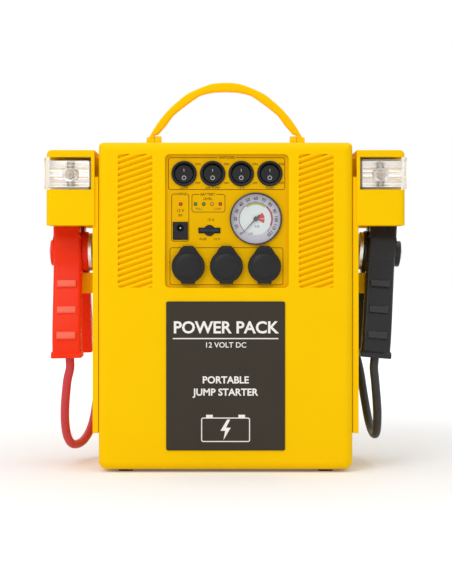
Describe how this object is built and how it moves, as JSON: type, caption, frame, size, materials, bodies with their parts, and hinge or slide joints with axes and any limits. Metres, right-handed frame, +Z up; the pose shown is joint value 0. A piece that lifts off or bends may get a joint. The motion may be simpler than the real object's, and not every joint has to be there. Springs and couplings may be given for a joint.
{
  "type": "portable jump starter",
  "caption": "Upright portable jump starter with a fold-down carry handle, corner lamps, control panel, air-pressure gauge, capped 12 V outlets and two parked battery clamps.",
  "frame": {"origin": "middle of the footprint, on the surface the pack stands on", "axes": "+Z up, -Y towards the person facing the controls, +X to that person's right"},
  "size_m": [0.3321, 0.1241, 0.3592],
  "materials": {
    "yellow_abs": "smooth moulded yellow ABS with a fine satin sheen",
    "clear_plastic": "clear polycarbonate",
    "bulb_glass": "clear bulb",
    "chrome": "vacuum-metallised reflector",
    "red_plastic": "smooth red moulding",
    "black_plastic": "smooth black moulding",
    "red_cable": "soft red PVC cable jacket",
    "black_cable": "soft black PVC cable jacket",
    "copper": "copper-plated clamp contact",
    "steel": "zinc-plated steel",
    "black_rubber": "matt black rubber",
    "label_dark": "printed dark label film",
    "dial_white": "printed dial face",
    "needle_dark": "dark painted needle",
    "gauge_rim": "dark gauge housing",
    "fuse_blue": "blue fuse body",
    "led_red": "red indicator",
    "led_green": "green indicator",
    "led_amber": "amber indicator",
    "battery_grey": "grey battery case",
    "motor_metal": "cast and turned metal",
    "board_green": "glass-fibre board",
    "black_gloss": "smooth black plastic"
  },
  "bodies": {
    "case": {"battery": "battery_grey", "battery_led_1": "led_green", "battery_led_2": "led_green", "battery_led_3": "led_amber", "battery_led_4": "led_red", "black_gland": "black_rubber", "charge_led": "led_red", "circuit_board": "board_green", "compressor": "motor_metal", "control_panel": "yellow_abs", "dc_jack": "black_gloss", "front_shell": "yellow_abs", "fuse_holder": "black_gloss", "gauge_case": "gauge_rim", "gauge_dial": "dial_white", "gauge_lens": "clear_plastic", "label_plate": "label_dark", "left_foot": "black_rubber", "left_lamp_bulb": "bulb_glass", "left_lamp_lens": "clear_plastic", "left_lamp_reflector": "chrome", "left_side_panel": "yellow_abs", "outlet_socket_1": "black_gloss", "outlet_socket_2": "black_gloss", "outlet_socket_3": "black_gloss", "rear_shell": "yellow_abs", "red_gland": "black_rubber", "right_foot": "black_rubber", "right_lamp_bulb": "bulb_glass", "right_lamp_lens": "clear_plastic", "right_lamp_reflector": "chrome", "right_side_panel": "yellow_abs", "switch_bezel_1": "black_gloss", "switch_bezel_2": "black_gloss", "switch_bezel_3": "black_gloss", "switch_bezel_4": "black_gloss"},
    "blade_fuse": {"blade_fuse": "fuse_blue"},
    "carry_handle": {"carry_handle": "yellow_abs"},
    "gauge_needle": {"gauge_needle": "needle_dark"},
    "outlet_cap_1": {"outlet_cap_1": "black_rubber"},
    "outlet_cap_2": {"outlet_cap_2": "black_rubber"},
    "outlet_cap_3": {"outlet_cap_3": "black_rubber"},
    "switch_rocker_1": {"switch_rocker_1": "black_gloss"},
    "switch_rocker_2": {"switch_rocker_2": "black_gloss"},
    "switch_rocker_3": {"switch_rocker_3": "black_gloss"},
    "switch_rocker_4": {"switch_rocker_4": "black_gloss"},
    "red_clamp": {"red_front_lever": "red_plastic", "red_front_jaw": "copper", "red_pivot_pin": "steel", "red_spring": "steel", "red_cable": "red_cable"},
    "red_lever": {"red_rear_lever": "red_plastic", "red_rear_jaw": "copper"},
    "black_clamp": {"black_front_lever": "black_plastic", "black_front_jaw": "copper", "black_pivot_pin": "steel", "black_spring": "steel", "black_cable": "black_cable"},
    "black_lever": {"black_rear_lever": "black_plastic", "black_rear_jaw": "copper"}
  },
  "joints": [
    {"name": "carry_handle_fold", "type": "hinge", "parent": "case", "child": "carry_handle", "pos_m": [0, 0.007, 0.3033], "axis": [-1, 0, 0], "range_deg": [0, 88]},
    {"name": "switch_1_rock", "type": "hinge", "parent": "case", "child": "switch_rocker_1", "pos_m": [-0.0375, -0.0557, 0.2696], "axis": [-1, 0, 0], "range_deg": [0, 18]},
    {"name": "switch_2_rock", "type": "hinge", "parent": "case", "child": "switch_rocker_2", "pos_m": [-0.0117, -0.0557, 0.2696], "axis": [-1, 0, 0], "range_deg": [0, 18]},
    {"name": "switch_3_rock", "type": "hinge", "parent": "case", "child": "switch_rocker_3", "pos_m": [0.0141, -0.0557, 0.2696], "axis": [-1, 0, 0], "range_deg": [0, 18]},
    {"name": "switch_4_rock", "type": "hinge", "parent": "case", "child": "switch_rocker_4", "pos_m": [0.0399, -0.0557, 0.2696], "axis": [-1, 0, 0], "range_deg": [0, 18]},
    {"name": "outlet_cap_1_lift", "type": "hinge", "parent": "case", "child": "outlet_cap_1", "pos_m": [-0.0337, -0.0604, 0.2033], "axis": [-1, 0, 0], "range_deg": [0, 110]},
    {"name": "outlet_cap_2_lift", "type": "hinge", "parent": "case", "child": "outlet_cap_2", "pos_m": [0.00065, -0.0604, 0.2033], "axis": [-1, 0, 0], "range_deg": [0, 110]},
    {"name": "outlet_cap_3_lift", "type": "hinge", "parent": "case", "child": "outlet_cap_3", "pos_m": [0.035, -0.0604, 0.2033], "axis": [-1, 0, 0], "range_deg": [0, 110]},
    {"name": "gauge_needle_turn", "type": "hinge", "parent": "case", "child": "gauge_needle", "pos_m": [0.0273, -0.053, 0.2289], "axis": [0, 1, 0], "range_deg": [0, 270]},
    {"name": "fuse_pull", "type": "slide", "parent": "case", "child": "blade_fuse", "axis": [0, -1, 0], "range_m": [0, 0.0135]},
    {"name": "red_clamp_release", "type": "slide", "parent": "case", "child": "red_clamp", "axis": [-1, 0, 0], "range_m": [0, 0.07]},
    {"name": "red_clamp_squeeze", "type": "hinge", "parent": "red_clamp", "child": "red_lever", "pos_m": [-0.1443, 0, 0.199], "axis": [-0.9998, 0, -0.0192], "range_deg": [0, 22], "stiffness_Nm_per_rad": 2, "springref_deg": -11.46},
    {"name": "black_clamp_release", "type": "slide", "parent": "case", "child": "black_clamp", "axis": [1, 0, 0], "range_m": [0, 0.07]},
    {"name": "black_clamp_squeeze", "type": "hinge", "parent": "black_clamp", "child": "black_lever", "pos_m": [0.1443, 0, 0.199], "axis": [-0.9966, 0, 0.0819], "range_deg": [0, 22], "stiffness_Nm_per_rad": 2, "springref_deg": -11.46}
  ]
}
